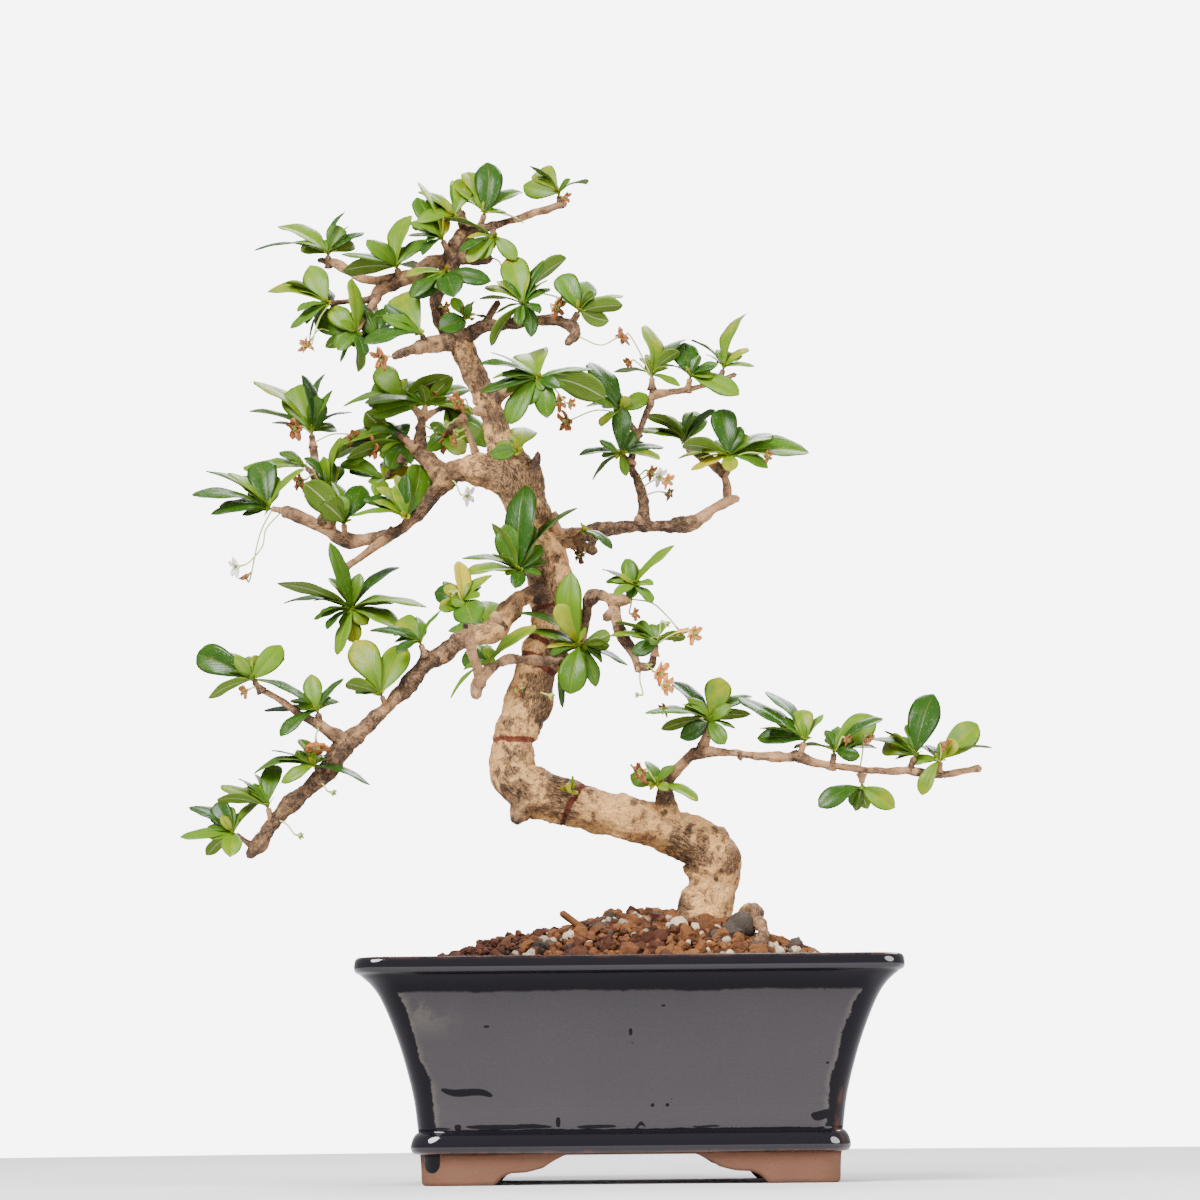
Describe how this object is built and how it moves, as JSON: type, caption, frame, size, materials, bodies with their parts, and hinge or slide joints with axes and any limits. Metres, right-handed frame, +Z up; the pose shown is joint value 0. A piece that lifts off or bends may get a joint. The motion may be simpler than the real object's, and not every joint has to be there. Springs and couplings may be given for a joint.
{
  "type": "fukien tea bonsai",
  "caption": "Bonsai tree with a bent trunk, spreading twigs, leafy rosettes and withered flowers, growing in grainy soil in a glazed rectangular tub on bracket feet.",
  "frame": {"origin": "middle of the whole object's box, on the surface that the pot's feet stand on", "axes": "+Z up, front towards -Y, the pot's long side along X"},
  "size_m": [0.3968, 0.2122, 0.5166],
  "materials": {
    "glaze": "very glossy near-black navy glaze, brown where it is thin, on unglazed tan feet",
    "soil": "matt loose grains of fired clay, pumice and lava",
    "bark": "pale cream-tan bark with fine fissures and grey rough patches",
    "leaf": "glossy green leaf, paler beneath",
    "withered": "dry orange-brown flower",
    "white": "small white flower on a green stalk",
    "peach": "fading peach flower on a green stalk",
    "mesh": "black plastic mesh"
  },
  "bodies": {
    "root": {"pot": "glaze", "soil": "soil", "wood": "bark", "drain_screen_left": "mesh", "drain_screen_right": "mesh", "leaves_crown_left_tip": "leaf", "leaves_crown_left_knob": "leaf", "leaves_crown_far_left": "leaf", "leaves_crown_under_left": "leaf", "leaves_crown_low_left": "leaf", "leaves_upper_left_twig": "leaf", "leaves_upper_left_knob": "leaf", "leaves_upper_left_tip": "leaf", "leaves_upper_left_front": "leaf", "leaves_upper_left_mid": "leaf", "leaves_back_left_high": "leaf", "leaves_back_left_right": "leaf", "leaves_back_left_low": "leaf", "leaves_crown_top_left": "leaf", "leaves_crown_top": "leaf", "leaves_crown_long_tip": "leaf", "leaves_crown_front": "leaf", "leaves_crown_collar": "leaf", "leaves_crown_neck": "leaf", "leaves_crown_right": "leaf", "leaves_crown_right_tip": "leaf", "leaves_high_front": "leaf", "leaves_high_right_near": "leaf", "leaves_high_right_low": "leaf", "leaves_high_right_top": "leaf", "leaves_high_right_mid": "leaf", "leaves_high_right_end": "leaf", "leaves_right_back": "leaf", "leaves_right": "leaf", "leaves_trunk_front": "leaf", "leaves_front": "leaf", "leaves_front_low": "leaf", "leaves_arch_knob": "leaf", "leaves_arch_twig": "leaf", "leaves_arch_root": "leaf", "leaves_left_stub": "leaf", "leaves_left_mid": "leaf", "leaves_left_fork": "leaf", "leaves_left_fork_tip": "leaf", "leaves_left_low": "leaf", "leaves_left_low_end": "leaf", "leaves_left_low_tip": "leaf", "leaves_right_foot": "leaf", "leaves_low_right_stub": "leaf", "leaves_low_right_mid": "leaf", "leaves_low_right_outer": "leaf", "leaves_low_right_far": "leaf", "leaves_low_right_tip": "leaf", "leaves_low_right_hanging": "leaf", "leaves_upper_left_hanging": "leaf", "flower_withered_hanging": "withered", "flower_withered_left": "withered", "flower_white": "white", "flower_peach": "peach", "flower_withered_crown": "withered"}
  },
  "joints": []
}
